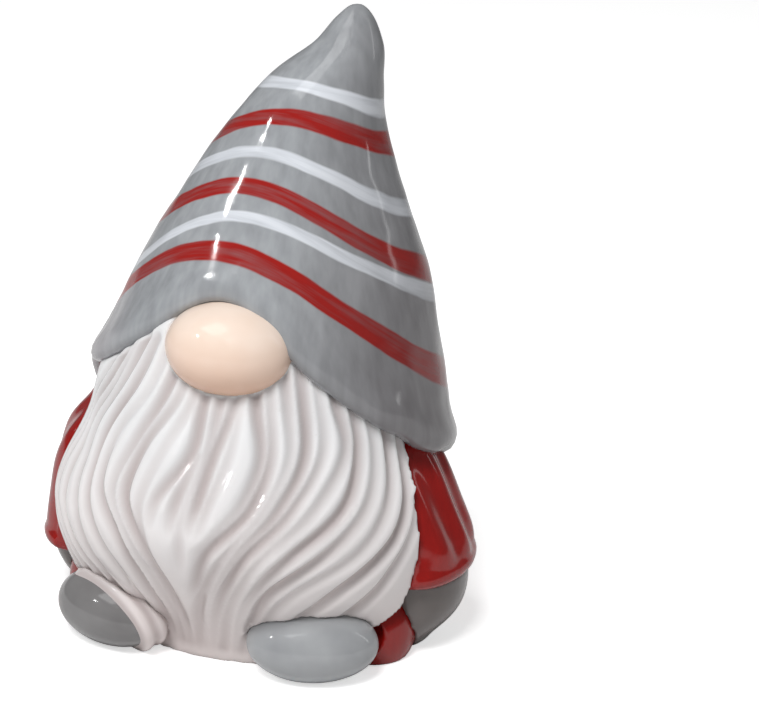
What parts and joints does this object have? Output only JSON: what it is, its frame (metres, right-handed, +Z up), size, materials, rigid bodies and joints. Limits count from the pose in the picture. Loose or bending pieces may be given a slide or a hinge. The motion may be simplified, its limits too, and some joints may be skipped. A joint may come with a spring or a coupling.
{
  "type": "tomte gnome figurine",
  "caption": "Small glazed earthenware gnome: tall bent striped hat over a round nose, long grooved beard to the floor, red sleeves, grey mittens and boots.",
  "frame": {"origin": "on the floor, under the centre of the figure's bounding box", "axes": "+Z up, the gnome faces -Y, its left hand is on +X"},
  "size_m": [0.061, 0.055, 0.085],
  "materials": {
    "body_glaze": "gloss",
    "hat_glaze": "gloss",
    "beard_glaze": "gloss",
    "nose_glaze": "gloss",
    "coat_glaze": "gloss",
    "trouser_glaze": "gloss",
    "grey_glaze": "gloss"
  },
  "bodies": {
    "root": {"body": "body_glaze", "hat": "hat_glaze", "beard": "beard_glaze", "nose": "nose_glaze", "coat": "coat_glaze", "sleeve_left": "coat_glaze", "sleeve_right": "coat_glaze", "mitten_left": "grey_glaze", "mitten_right": "grey_glaze", "trouser_leg_left": "trouser_glaze", "trouser_leg_right": "trouser_glaze", "boot_left": "grey_glaze", "boot_right": "grey_glaze"}
  },
  "joints": []
}
